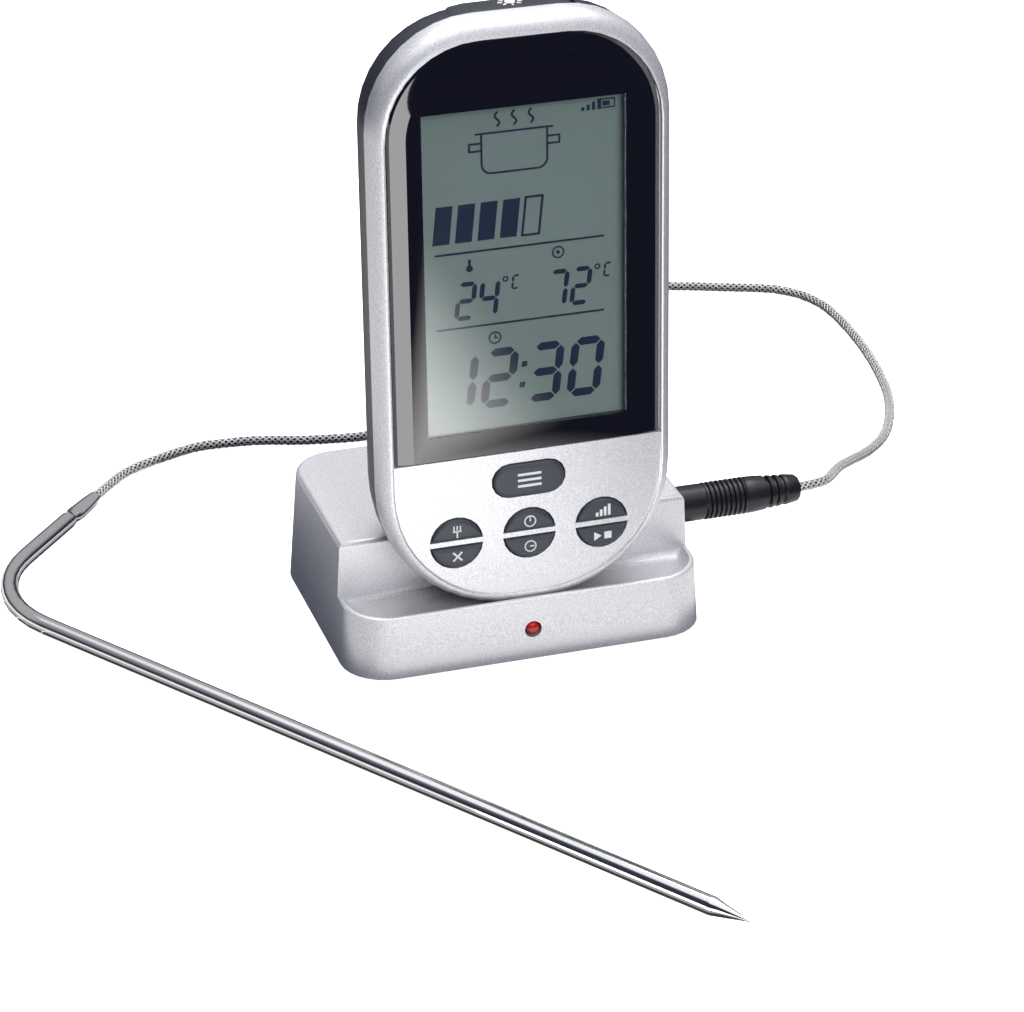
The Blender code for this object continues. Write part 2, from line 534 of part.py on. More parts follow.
def dock_electronics(stuff):
    """Upright board, aerial, LED, slide switch and the probe socket in the right wall."""
    box((-24.0, -2.7, 3.0), (24.0, -1.3, 22.6), "dock_board", stuff["board"], None, 0.1)
    aerial = [(-18.0, -0.4, 20.0), (-18.0, 1.0, 20.0), (-18.0, 2.4, 20.6), (-18.0, 20.0, 20.6)]
    wire(aerial, 0.5, "dock_antenna", stuff["contact"])
    front = BASE_FRONT + FRONT_DRAFT * LED_HEIGHT
    dome = [(-0.45, 0.35), (-0.3, 0.85), (0.05, 1.3), (0.6, LED_RADIUS), (2.6, LED_RADIUS), (2.6, 2.5), (3.6, 2.5)]
    turned([(front + s, r) for s, r in dome], (0, 0, LED_HEIGHT), Y_AXIS, "status_led", stuff["led"], None, 20)
    low, high = (SWITCH_REST - 2.2, 25.4, SWITCH_HEIGHT - 1.3), (SWITCH_REST + 2.2, 30.2, SWITCH_HEIGHT + 1.3)
    knob = box(low, high, "power_switch_knob", stuff["black"], None, 0.2)
    low, high = (SWITCH_REST - 4.4, 25.0, SWITCH_HEIGHT - 2.6), (SWITCH_REST + 4.4, 26.2, SWITCH_HEIGHT + 2.6)
    cut(knob, box(low, high, "switch_flange"), "UNION")
    box((-8.0, 20.0, 15.4), (8.0, 24.6, 22.6), "power_switch_body", stuff["black"], None, 0.2)
    socket = box((27.6, -4.2, PLUG_Z - 4.2), (36.4, 4.2, PLUG_Z + 4.2), "probe_socket", stuff["black"])
    cut(socket, bars([(0, 0, PLUG_Z)], 3.0, X_AXIS, 35.5, 39.1, "socket_collar", None, 20), "UNION")
    cut(socket, bars([(0, 0, PLUG_Z)], PIN_RADIUS + GAP, X_AXIS, 28.4, 45, "socket_bore", None, 16))


# Lead and probe

def plug(stuff):
    """Moulded plug with grip ribs and a slotted strain relief, and its three-part jack pin."""
    profile = [(PLUG_START, 3.6), (PLUG_START + 0.5, 4.1), (48.7, 4.1)]
    for rib in range(9):
        start = 49.0 + 1.12 * rib
        profile += [(start, 3.7), (start + 0.25, 4.2), (start + 0.8, 4.2), (start + 1.02, 3.7)]
    profile += [(59.3, 4.15), (61.5, 4.05), (63.6, 3.85)]
    for groove in range(3):
        start = 63.8 + 1.75 * groove
        outer = 3.75 - 0.13 * groove
        profile += [(start, outer), (start + 0.1, 2.9), (start + 0.75, 2.9), (start + 0.85, outer)]
    profile += [(69.0, 3.4), (71.2, 3.05), (PLUG_END, 2.5)]
    spot = (0, 0, PLUG_Z)
    turned(profile, spot, X_AXIS, "plug_body", stuff["black"], None, 14)
    base, tip = PLUG_START - GAP, PLUG_START - GAP - PIN_LENGTH
    sleeve = [(base, PIN_RADIUS), (base - 5.2, PIN_RADIUS)]
    turned(sleeve, spot, X_AXIS, "plug_sleeve", stuff["contact"], None, 14)
    turned([(base - 5.5, 1.2), (base - 6.5, 1.2)], spot, X_AXIS, "plug_insulator", stuff["black"], None, 14)
    point = [(base - 6.8, PIN_RADIUS), (base - 8.6, PIN_RADIUS), (base - 9.1, 0.9), (base - 9.8, 1.15), (tip, 0.35)]
    turned(point, spot, X_AXIS, "plug_tip", stuff["contact"], None, 14)


def smooth_route(points, count):
    """Evenly spaced places on a smooth line through the given points."""
    nodes = [Vector(p) for p in points]
    nodes = [2 * nodes[0] - nodes[1]] + nodes + [2 * nodes[-1] - nodes[-2]]
    fine = []
    for a, b, c, d in zip(nodes, nodes[1:], nodes[2:], nodes[3:]):
        for i in range(20):
            t = i / 20
            bow, twist = 2 * a - 5 * b + 4 * c - d, 3 * b - a - 3 * c + d
            fine.append(0.5 * (2 * b + (c - a) * t + bow * t * t + twist * t ** 3))
    fine.append(nodes[-2])
    reach = [0.0]
    for before, after in zip(fine, fine[1:]):
        reach.append(reach[-1] + (after - before).length)
    spaced, k = [], 0
    for i in range(count):
        goal = reach[-1] * i / (count - 1)
        while k < len(fine) - 2 and reach[k + 1] < goal:
            k += 1
        part = (goal - reach[k]) / (reach[k + 1] - reach[k])
        spaced.append(fine[k].lerp(fine[k + 1], min(max(part, 0.0), 1.0)))
    return spaced


def probe_path():
    """Straight, bend and tail of the probe: a function of distance from the tip, and its marks."""
    tip, corner, tail = (Vector((*p, PROBE_RADIUS)) for p in (PROBE_TIP, PROBE_CORNER, PROBE_TAIL))
    first, second = (corner - tip).normalized(), (tail - corner).normalized()
    turn = first.angle(second)
    trim = PROBE_BEND * math.tan(turn / 2)
    bend_start = (corner - tip).length - trim
    bend_end = bend_start + PROBE_BEND * turn
    total = bend_end + (tail - corner).length - trim
    side = first.cross(second).normalized().cross(first)

    def spot(distance):
        if distance <= bend_start:
            return tip + first * distance, first
        if distance <= bend_end:
            angle = (distance - bend_start) / PROBE_BEND
            heading = first * math.cos(angle) + side * math.sin(angle)
            start = tip + first * bend_start
            return start + PROBE_BEND * (first * math.sin(angle) + side * (1 - math.cos(angle))), heading
        return tail - second * (total - distance), second

    return spot, bend_start, bend_end, total


def probe(stuff):
    """Hollow steel probe, bent near its tail and crimped on the cable, with the sensor inside."""
    spot, bend_start, bend_end, total = probe_path()
    bends = [bend_start + (bend_end - bend_start) * i / 9 for i in range(10)]
    crimp = total - CRIMP_LENGTH
    outer = [(0.0, 0.1, 0.1), (0.8, 0.3, 0.3), (PROBE_POINT, PROBE_RADIUS - 0.05, PROBE_RADIUS - 0.05),
             (PROBE_POINT + 0.6, PROBE_RADIUS, PROBE_RADIUS)]
    outer += [(s, PROBE_RADIUS, PROBE_RADIUS) for s in bends]
    outer += [(crimp, PROBE_RADIUS, PROBE_RADIUS), (crimp + 0.9, 1.95, 1.75), (crimp + 1.8, 1.7, 1.35)]
    outer += [(crimp + 2.6, 2.2, 1.35), (crimp + 4.2, 2.4, 1.4), (total - 3.0, 2.0, 1.4), (total, 1.55, 1.35)]
    bore = PROBE_BORE
    inner = [(total, 1.2, 1.0), (total - 3.0, 1.5, 1.0), (crimp + 4.2, 1.7, 1.0), (crimp + 1.8, 1.2, 0.95)]
    inner += [(crimp, bore, bore)] + [(s, bore, bore) for s in reversed(bends)]
    inner += [(PROBE_POINT + 4.0, bore, bore), (PROBE_POINT + 2.0, 0.6, 0.6)]
    rings = []
    for distance, wide, tall in outer + inner:
        centre, heading = spot(distance)
        rings.append(circle(centre, heading.cross(Z_AXIS) * wide, Z_AXIS * tall, 16))
    loft(rings, "probe_tube", stuff["steel"])
    bead = []
    for distance, radius in ((14.0, 0.4), (14.6, 0.95), (18.6, 0.95), (19.2, 0.4)):
        centre, heading = spot(distance)
        bead.append(circle(centre, heading.cross(Z_AXIS) * radius, Z_AXIS * radius, 12))
    loft(bead, "sensor_bead", stuff["bead"])
    marks = [19.6, 90.0] + bends + [total - 14.0, total - 2.0]
    wire([spot(s)[0] for s in marks], 0.45, "sensor_lead", stuff["contact"])


def main():
    clear_scene()
    stuff = make_materials()
    frame = bpy.data.objects.new("receiver_frame", None)
    bpy.context.scene.collection.objects.link(frame)
    frame.location = (0, STAND_Y * MM, STAND_Z * MM)
    frame.rotation_euler = Euler((-LEAN, 0, 0))
    front_shell(stuff, frame)
    rear_shell(stuff, frame)
    display(stuff, frame)
    keys(stuff, frame)
    light_key(stuff, frame)
    receiver_electronics(stuff, frame)
    receiver_power(stuff, frame)
    screws(stuff, frame)
    dock_shell(stuff, frame)
    dock_cover(stuff)
    dock_power(stuff)
    dock_electronics(stuff)
    plug(stuff)
    wire(smooth_route(CABLE_ROUTE, CABLE_POINTS), CABLE_RADIUS, "probe_cable", stuff["braid"])
    probe(stuff)


main()
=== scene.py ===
"""Looks of the wireless meat thermometer.

Finished surfaces, the display's figures, the key marks, the braided cable and a white studio.
"""

import json
import math

import bmesh
import bpy
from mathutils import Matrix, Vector


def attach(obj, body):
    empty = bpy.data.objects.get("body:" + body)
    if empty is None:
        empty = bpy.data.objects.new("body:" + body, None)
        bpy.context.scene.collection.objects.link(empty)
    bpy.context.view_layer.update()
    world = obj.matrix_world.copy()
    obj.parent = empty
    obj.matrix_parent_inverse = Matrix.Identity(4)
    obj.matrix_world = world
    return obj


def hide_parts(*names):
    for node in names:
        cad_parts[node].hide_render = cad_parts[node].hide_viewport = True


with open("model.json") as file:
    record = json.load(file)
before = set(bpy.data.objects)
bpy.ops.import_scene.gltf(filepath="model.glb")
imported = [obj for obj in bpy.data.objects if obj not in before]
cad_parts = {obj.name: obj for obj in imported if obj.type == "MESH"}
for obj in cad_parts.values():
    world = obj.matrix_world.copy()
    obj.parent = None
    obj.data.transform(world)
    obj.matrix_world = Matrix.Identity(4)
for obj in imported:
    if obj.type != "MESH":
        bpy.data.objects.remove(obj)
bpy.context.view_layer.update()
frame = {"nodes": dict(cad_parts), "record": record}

MM = 0.001

# The receiver's own axes, in the row frame

LEAN = math.radians(2.6)
STAND = Vector((0, -28.25, 12.3))
ACROSS = Vector((1, 0, 0))
DEPTH = Vector((0, math.cos(LEAN), -math.sin(LEAN)))
UP = Vector((0, math.sin(LEAN), math.cos(LEAN)))

# Sizes on the receiver, in millimetres

HEIGHT = 130.2
VIEW_HALF, VIEW_LOW, VIEW_HIGH = 21.7, 41.2, 111.4
WINDOW_HALF, WINDOW_LOW = 29.15, 35.8
CORNER_X, CORNER_HEIGHT, CORNER_STEPS = 9.3, 105.9, 30
WINDOW_SKIN = ((1.5, 0.0), (1.05, 0.0), (0.7, 0.9), (0.1, 4.2))  # depth and inset of each ring
VIEW_CUT, PANE_SKIN, PANE_SHRINK = (-2.0, 4.0), (0.15, 0.5), 0.999
LCD_FACE, LCD_PRINT = 2.9, (0.03, 0.07)
KEY_FACE, KEY_PRINT = -0.45, (0.02, 0.04)
PAIR_PITCH, PAIR_HEIGHT, PAIR_STEP, MODE_HEIGHT = 16.1, 16.5, 2.9, 29.05
SUN_DEPTH, SUN_FOOT, SUN_RISE = 8.9, 0.1, 0.24
DIGIT_SLANT, SEGMENT_GAP = 0.12, 0.12

SMOOTH_ANGLE, WINDOW_ANGLE = math.radians(32.0), math.radians(4.0)
MERGE_REACH, FLAT_ANGLE = 1e-6, math.radians(0.5)

# The cable, in millimetres

CABLE_RADIUS, CORE_SHRINK = 1.05, 0.08
STRAND_RADIUS, STRAND_INSET, STRAND_WEAVE = 0.23, 0.1, 0.06
WIND_LENGTH, CARRIERS = 7.5, 5
CORE_POINTS, STRAND_POINTS = 160, 620
CABLE_ROUTE = (
    (72.1, 0.0, 15.3), (80.0, 3.5, 14.2), (88.5, 15.0, 11.0), (103.0, 32.0, 5.0), (113.2, 46.2, 2.0),
    (121.1, 63.4, 1.1), (125.5, 83.1, 1.05), (127.5, 104.4, 1.05), (126.4, 122.3, 1.05), (119.6, 133.1, 1.05),
    (105.5, 139.5, 1.05), (93.3, 144.0, 1.05), (80.0, 147.0, 1.05), (66.0, 145.5, 1.05), (52.0, 138.0, 1.05),
    (38.0, 124.0, 1.05), (26.0, 107.0, 1.05), (14.0, 92.0, 1.05), (4.0, 84.5, 1.05), (-5.9, 82.7, 1.05),
    (-19.8, 84.8, 1.05), (-31.5, 88.2, 1.05), (-43.7, 89.2, 1.05), (-50.2, 87.7, 1.05), (-57.1, 84.9, 1.05),
    (-63.9, 81.0, 1.2), (-68.8, 75.8, 1.6), (-74.1, 69.1, 2.0),
)

# The studio: brightness, and places in metres, but the bands along the probe in millimetres

BACK_SKY, TOP_SKY, DIM_SKY = 0.52, 1.3, 0.07
BACK_RISE, BACK_TURN, TOP_RISE = (0.05, 0.45), (-0.1, 0.45), (0.64, 0.82)
DIM_TINT, CLEAR_TINT, CLEAR_FROM = (0.45, 0.55, 1.0), (0.95, 0.96, 1.0), 0.3

# The last glow is that of the dim strip under the probe: painted shadow, seen in the probe's reflection.
CARD_GLOW, NEAR_GLOW, LEFT_GLOW, BORDER_GLOW, PROBE_SHADOW_GLOW = 4.2, 1.2, 1.1, 0.5, 0.06
BRIGHT_CARD = ((-0.4, -1.5), (0.12, -1.5), (0.05, -0.09), (-0.07, -0.09))
NEAR_CARD = (
    (-0.08, -0.09), (0.06, -0.09), (0.105, -0.05), (0.105, 0.03), (0.055, 0.03), (0.045, -0.034),
    (-0.045, -0.034),
)
LEFT_CARD = (
    (-0.6, -1.5), (-0.02, -1.5), (0.02, -0.15), (-0.08, 0.035), (-0.055, 0.085), (-0.085, 0.3), (-0.6, 0.3),
)
EDGE_SLANT, EDGE_DARK, EDGE_BRIGHT = 0.056, 0.046, -0.004

PROBE_LINE = (
    (6.9, -143.1), (-97.4, 11.7), (-101.0, 19.7), (-101.9, 28.4), (-100.0, 36.9), (-95.4, 44.4), (-74.4, 68.7),
)
BORDER_HALF, PROBE_SHADOW_HALF = 6.0, 2.7

FLOOR_HALF, FLOOR_LEVEL, FLOOR_GLOW = 6, -0.0003, 0.9
LIGHTS = (
    ("front_light", (0.15, -0.85, 0.5), 0.5, 8.0),
    ("top_light", (0.1, 0.2, 0.95), 0.6, 4.0),
    ("back_light", (0.2, 0.9, 0.5), 0.5, 5.0),
)
LIGHT_AIM = Vector((0, 0, 0.06))

EYE_PLACE = (-0.22064, -0.71129, 0.40308)
EYE_AIM = Vector((0.26890, 0.84849, -0.45583))
EYE_SENSOR, EYE_LENS = 36.0, 134.70

bodies = frame["record"]["behaviour"]["bodies"]
body_of_node = {node: body for body, nodes in bodies.items() for node in nodes}
slot_of_node = {row["node"]: row["material_slot"] for row in frame["record"]["subparts"]}


def spot(x, depth, height):
    """A place on the receiver, from millimetres in its own axes to the row frame."""
    return (STAND + ACROSS * x + DEPTH * depth + UP * height) * MM


# Materials

COAT_ROUGHNESS = 0.15
GRAIN_LOW, GRAIN_HIGH, GRAIN_RISE = 0.35, 0.65, 0.00005
# The display's two colours paint light on it: the lower one lighter, the upper one darker.
LCD_PAINTED_LIT_LOW, LCD_PAINTED_DIM_HIGH = (0.205, 0.27, 0.25), (0.18, 0.238, 0.225)


def grain_group():
    """A speckle mask from fine noise, shared by the paints, metals and mouldings."""
    group = bpy.data.node_groups.new("fine_grain", "ShaderNodeTree")
    group.interface.new_socket("Scale", in_out="INPUT", socket_type="NodeSocketFloat")
    group.interface.new_socket("Mask", in_out="OUTPUT", socket_type="NodeSocketFloat")
    nodes, links = group.nodes, group.links
    start = nodes.new("NodeGroupInput")
    end = nodes.new("NodeGroupOutput")
    where = nodes.new("ShaderNodeTexCoord")
    noise = nodes.new("ShaderNodeTexNoise")
    noise.inputs["Detail"].default_value = 2.0
    links.new(where.outputs["Object"], noise.inputs["Vector"])
    links.new(start.outputs["Scale"], noise.inputs["Scale"])
    links.new(noise.outputs["Fac"], end.inputs["Mask"])
    return group


GRAIN = grain_group()


def surface(name, colour, roughness, metallic=0.0, coat=0.0, specular=0.5, alpha=1.0,
            grain=None, spread=0.0, bump=0.0):
    """A Principled material; grain varies its colour by spread and raises a bump."""
    made = bpy.data.materials.new(name)
    made.use_nodes = True
    nodes, links = made.node_tree.nodes, made.node_tree.links
    shader = nodes["Principled BSDF"]
    shader.inputs["Base Color"].default_value = (*colour, 1.0)
    shader.inputs["Roughness"].default_value = roughness
    shader.inputs["Metallic"].default_value = metallic
    shader.inputs["Coat Weight"].default_value = coat
    shader.inputs["Coat Roughness"].default_value = COAT_ROUGHNESS
    shader.inputs["Specular IOR Level"].default_value = specular
    shader.inputs["Alpha"].default_value = alpha
    if grain:
        speckle = nodes.new("ShaderNodeGroup")
        speckle.node_tree = GRAIN
        speckle.inputs["Scale"].default_value = grain
        ramp = nodes.new("ShaderNodeValToRGB")
        dark, light = ramp.color_ramp.elements
        dark.position = GRAIN_LOW
        light.position = GRAIN_HIGH
        dark.color = (*[c * (1 - spread) for c in colour], 1.0)
        light.color = (*[min(c * (1 + spread), 1.0) for c in colour], 1.0)
        links.new(speckle.outputs["Mask"], ramp.inputs["Fac"])
        links.new(ramp.outputs["Color"], shader.inputs["Base Color"])
        if bump:
            raised = nodes.new("ShaderNodeBump")
            raised.inputs["Strength"].default_value = bump
            raised.inputs["Distance"].default_value = GRAIN_RISE
            links.new(speckle.outputs["Mask"], raised.inputs["Height"])
            links.new(raised.outputs["Normal"], shader.inputs["Normal"])
    return made


def lcd_painted_light_material():
    """Grey-green glass with painted light: lighter towards the bottom of the display, standing in for a soft
    reflection over it.
    """
    made = surface("lcd_face", LCD_PAINTED_LIT_LOW, 0.35, specular=0.1)
    nodes, links = made.node_tree.nodes, made.node_tree.links
    where = nodes.new("ShaderNodeTexCoord")
    split = nodes.new("ShaderNodeSeparateXYZ")
    span = nodes.new("ShaderNodeMapRange")
    span.inputs["From Min"].default_value = spot(0, LCD_FACE, VIEW_LOW).z
    span.inputs["From Max"].default_value = spot(0, LCD_FACE, VIEW_HIGH).z
    ramp = nodes.new("ShaderNodeValToRGB")
    low, high = ramp.color_ramp.elements
    low.color = (*LCD_PAINTED_LIT_LOW, 1.0)
    high.color = (*LCD_PAINTED_DIM_HIGH, 1.0)
    links.new(where.outputs["Object"], split.inputs["Vector"])
    links.new(split.outputs["Z"], span.inputs["Value"])
    links.new(span.outputs["Result"], ramp.inputs["Fac"])
    links.new(ramp.outputs["Color"], nodes["Principled BSDF"].inputs["Base Color"])
    return made


LOOKS = {
    "silver_paint": surface(
        "silver_paint", (0.74, 0.74, 0.765), 0.42, 0.62, grain=2800.0, spread=0.13, bump=0.22),
    "charcoal_plastic": surface(
        "charcoal_plastic", (0.032, 0.035, 0.044), 0.42, grain=3000.0, spread=0.15, bump=0.25),
    "black_window": surface("black_window", (0.004, 0.004, 0.009), 0.05, specular=1.0),
    "lcd_glass": lcd_painted_light_material(),
    "milky_acrylic": surface("milky_acrylic", (0.82, 0.85, 0.83), 0.3, grain=250.0, spread=0.03),
    "green_board": surface("green_board", (0.03, 0.15, 0.07), 0.45, grain=900.0, spread=0.15),
    "grey_key": surface("grey_key", (0.042, 0.047, 0.062), 0.42, grain=3500.0, spread=0.12, bump=0.2),
    "silicone": surface("silicone", (0.42, 0.42, 0.42), 0.65, grain=1500.0, spread=0.08, bump=0.15),
    "black_moulding": surface(
        "black_moulding", (0.009, 0.009, 0.014), 0.34, grain=2500.0, spread=0.15, bump=0.15),
    "stainless_steel": surface("stainless_steel", (0.72, 0.71, 0.71), 0.09, 1.0, grain=1800.0, spread=0.03),
    "steel_braid": surface("steel_braid", (0.64, 0.64, 0.63), 0.36, 0.55, grain=700.0, spread=0.06),
    "plated_contact": surface("plated_contact", (0.76, 0.73, 0.64), 0.28, 1.0, grain=900.0, spread=0.05),
    "cell_jacket": surface("cell_jacket", (0.16, 0.17, 0.19), 0.35, grain=300.0, spread=0.05),
    "red_led": surface("red_led", (0.42, 0.008, 0.012), 0.08, coat=0.6),
    "sensor_bead": surface("sensor_bead", (0.1, 0.09, 0.08), 0.6, grain=2000.0, spread=0.1),
}
SEGMENT = surface("lcd_segment", (0.012, 0.02, 0.045), 0.4, specular=0.1)
WHITE_MARK = surface("white_mark", (0.82, 0.82, 0.82), 0.55, grain=2500.0, spread=0.04)
PANE = surface("clear_pane", (0.9, 0.9, 0.9), 0.05, 1.0, alpha=0.08)
CORE = surface("cable_core", (0.016, 0.016, 0.02), 0.6, grain=1500.0, spread=0.1)


# Pieces

def as_object(bm, name):
    """A linked object that holds the bmesh, which is freed."""
    mesh = bpy.data.meshes.new(name)
    bm.to_mesh(mesh)
    bm.free()
    made = bpy.data.objects.new(name, mesh)
    bpy.context.scene.collection.objects.link(made)
    return made


def settle(bm, name, material, body):
    """Turns a bmesh in the row frame into a smooth-shaded piece that rides on a body."""
    bmesh.ops.recalc_face_normals(bm, faces=bm.faces)
    made = as_object(bm, name)
    made.data.materials.append(material)
    made.data.shade_smooth()
    made.data.set_sharp_from_angle(angle=SMOOTH_ANGLE)
    flat = made.modifiers.new("flat_faces", "WEIGHTED_NORMAL")
    flat.keep_sharp = True
    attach(made, body)
    return made


def finished(node):
    """A merged, smooth-shaded copy of a CAD piece that stands for it."""
    bm = bmesh.new()
    bm.from_mesh(frame["nodes"][node].data)
    bmesh.ops.remove_doubles(bm, verts=bm.verts, dist=MERGE_REACH)
    bmesh.ops.dissolve_limit(bm, angle_limit=FLAT_ANGLE, verts=bm.verts, edges=bm.edges)
    slot = slot_of_node[node]
    made = settle(bm, node + "_finished", LOOKS[slot], body_of_node[node])
    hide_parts(node)
    return made


def bake(made):
    """Keeps the shape that a piece's modifiers give and drops the modifiers."""
    bpy.context.view_layer.update()
    shape = bpy.data.meshes.new_from_object(made.evaluated_get(bpy.context.evaluated_depsgraph_get()))
    made.modifiers.clear()
    made.data = shape


def add_plate(bm, corners, rise):
    """A plate that grows from a flat outline by a rise."""
    face = bm.faces.new([bm.verts.new(corner) for corner in corners])
    grown = bmesh.ops.extrude_face_region(bm, geom=[face])["geom"]
    moved = [g for g in grown if isinstance(g, bmesh.types.BMVert)]
    bmesh.ops.translate(bm, vec=rise, verts=moved)


def add_prism(bm, points, near, far):
    """A thin plate with the outline of x, height points, between two depths of the receiver."""
    add_plate(bm, [spot(x, near, height) for x, height in points], DEPTH * (far - near) * MM)


# Outlines of x, height points

def block(left, low, right, high):
    """An upright rectangle."""
    return [(left, low), (right, low), (right, high), (left, high)]


def arc(x, height, radius, start, end, count):
    """Points on part of a circle, from one angle in degrees to another."""
    turns = [math.radians(start + (end - start) * i / count) for i in range(count + 1)]
    return [(x + radius * math.cos(a), height + radius * math.sin(a)) for a in turns]


def disc(x, height, radius, count):
    """A full circle with each point once."""
    return arc(x, height, radius, 0, 360, count)[:-1]


def stroke(points, width):
    """Outlines of the straight bars that make up a drawn line."""
    bars = []
    for (ax, ay), (bx, by) in zip(points, points[1:]):
        length = math.hypot(bx - ax, by - ay)
        nx, ny = -(by - ay) / length * width / 2, (bx - ax) / length * width / 2
        ex, ey = (bx - ax) / length * width * 0.3, (by - ay) / length * width * 0.3
        bars.append([(ax + nx - ex, ay + ny - ey), (ax - nx - ex, ay - ny - ey),
                     (bx - nx + ex, by - ny + ey), (bx + nx + ex, by + ny + ey)])
    return bars


def circle(x, height, radius, width):
    """A drawn circle."""
    return stroke(arc(x, height, radius, 0, 360, 16), width)


# Display

SEGMENTS_LIT = {"0": "abcdef", "1": "bc", "2": "abged", "3": "abgcd", "4": "fgbc", "7": "abc", "C": "afed"}


def bar_between(a, b, thick):
    """A display segment: a bar with pointed ends."""
    (ax, ay), (bx, by) = a, b
    length = math.hypot(bx - ax, by - ay)
    ux, uy = (bx - ax) / length, (by - ay) / length
    nx, ny = -uy * thick / 2, ux * thick / 2
    tip = thick / 2
    return [
        (ax, ay),
        (ax + ux * tip - nx, ay + uy * tip - ny),
        (bx - ux * tip - nx, by - uy * tip - ny),
        (bx, by),
        (bx - ux * tip + nx, by - uy * tip + ny),
        (ax + ux * tip + nx, ay + uy * tip + ny),
    ]


def digit(sign, x, foot, wide, tall, thick):
    """Lit segments of one seven-segment sign, leaning a little to the right."""
    gap = thick * SEGMENT_GAP
    half = tall / 2
    ends = {
        "a": ((0, tall), (wide, tall)),
        "b": ((wide, tall), (wide, half)),
        "c": ((wide, half), (wide, 0)),
        "d": ((0, 0), (wide, 0)),
        "e": ((0, half), (0, 0)),
        "f": ((0, tall), (0, half)),
        "g": ((0, half), (wide, half)),
    }
    plates = []
    for name in SEGMENTS_LIT[sign]:
        (ax, ay), (bx, by) = ends[name]
        length = math.hypot(bx - ax, by - ay)
        ux, uy = (bx - ax) / length * gap, (by - ay) / length * gap
        plates.append(bar_between((ax + ux, ay + uy), (bx - ux, by - uy), thick))
    return [[(x + px + py * DIGIT_SLANT, foot + py) for px, py in plate] for plate in plates]


def lcd_x(u):
    """The place across the display for a share of its width from the left."""
    return -VIEW_HALF + 2 * VIEW_HALF * u


def lcd_v(w):
    """The height on the display for a share of its height from the top."""
    return VIEW_HIGH - (VIEW_HIGH - VIEW_LOW) * w


def pot_picture(x, v):
    """A plain steaming pot, drawn in lines."""
    lines = [
        [(x - 7, v + 3.4), (x - 7, v - 3.2)],
        arc(x - 5, v - 3.2, 2.0, 180, 270, 4),
        [(x - 5, v - 5.2), (x + 5, v - 5.2)],
        arc(x + 5, v - 3.2, 2.0, 270, 360, 4),
        [(x + 7, v - 3.2), (x + 7, v + 3.4)],
        [(x - 8.2, v + 3.4), (x + 8.2, v + 3.4)],
    ]
    for side in (-1, 1):
        wall, grip = x + side * 7, x + side * 9.6
        lines.append([(wall, v + 1.4), (grip, v + 1.4), (grip, v - 0.2), (wall, v - 0.2)])
    for shift in (-3.6, 0.0, 3.6):
        lines.append([(x + shift + 0.5 * math.sin(i * 0.9), v + 4.7 + i * 0.42) for i in range(8)])
    return [bar for line in lines for bar in stroke(line, 0.42)]


def level_blocks(x, v, count, lit, wide, tall):
    """A row of slanted blocks: the lit ones filled, the others outlined."""
    plates = []
    for i in range(count):
        left = x + i * (wide + 1.2)
        shape = [(left, v), (left + wide, v), (left + wide + 0.9, v + tall), (left + 0.9, v + tall)]
        if i < lit:
            plates.append(shape)
        else:
            plates += stroke(shape + shape[:1], 0.5)
    return plates


def signal_bars(x, v):
    """Four small bars of rising height."""
    starts = [x + i * 1.15 for i in range(4)]
    return [block(left, v, left + 0.7, v + 0.7 + i * 0.5) for i, left in enumerate(starts)]


def cell_sign(x, v):
    """A small cell, partly full."""
    case = block(x - 1.5, v - 0.9, x + 1.5, v + 0.9)
    return stroke(case + case[:1], 0.3) + [block(x - 1.1, v - 0.5, x + 0.5, v + 0.5)]


def thermometer_sign(x, v):
    """A bulb and a stem."""
    return [disc(x, v - 0.6, 0.75, 12), block(x - 0.3, v - 0.4, x + 0.3, v + 1.4)]


def target_sign(x, v):
    """A circle round a spot."""
    return circle(x, v, 1.2, 0.32) + [disc(x, v, 0.42, 10)]


def clock_sign(x, v):
    """A clock face with two hands."""
    return circle(x, v, 1.25, 0.32) + stroke([(x, v + 0.8), (x, v), (x + 0.6, v)], 0.3)


def readout(figures, x, v):
    """A temperature: two figures, a raised ring and the unit letter."""
    plates = []
    for i, sign in enumerate(figures):
        plates += digit(sign, x + i * 5.0, v, 3.3, 7.4, 1.0)
    ring = x + 10.7
    plates += stroke(arc(ring, v + 7.5, 0.5, 0, 360, 8), 0.3)
    plates += digit("C", ring + 1.4, v + 5.2, 1.3, 2.8, 0.42)
    return plates


def time_figures(foot):
    """The large time: four figures and a colon."""
    plates = []
    for sign, u in (("1", 0.10), ("2", 0.30), ("3", 0.53), ("0", 0.735)):
        plates += digit(sign, lcd_x(u), foot, 5.6, 11.4, 1.75)
    for v in (3.4, 8.0):
        x = lcd_x(0.468) + v * DIGIT_SLANT
        low, high = foot + v - 0.6, foot + v + 0.6
        plates.append([(x, low), (x + 1.2, low), (x + 1.35, high), (x + 0.15, high)])
    return plates


def display():
    """What the LCD shows, as thin plates just in front of its face."""
    plates = pot_picture(lcd_x(0.47), lcd_v(0.135))
    plates += signal_bars(lcd_x(0.80), lcd_v(0.052))
    plates += cell_sign(lcd_x(0.93), lcd_v(0.036))
    plates += thermometer_sign(lcd_x(0.24), lcd_v(0.487))
    plates += target_sign(lcd_x(0.68), lcd_v(0.478))
    plates += clock_sign(lcd_x(0.36), lcd_v(0.722))
    plates += level_blocks(lcd_x(0.06), lcd_v(0.412), 5, 4, 3.6, 8.2)
    for w in (0.444, 0.678):
        plates.append(block(lcd_x(0.07), lcd_v(w) - 0.22, lcd_x(0.91), lcd_v(w) + 0.22))
    plates += readout("24", lcd_x(0.17), lcd_v(0.648))
    plates += readout("72", lcd_x(0.63), lcd_v(0.645))
    plates += time_figures(lcd_v(0.932))
    near, far = LCD_PRINT
    bm = bmesh.new()
    for plate in plates:
        add_prism(bm, plate, LCD_FACE - near, LCD_FACE - far)
    settle(bm, "lcd_figures", SEGMENT, "receiver")


# Window

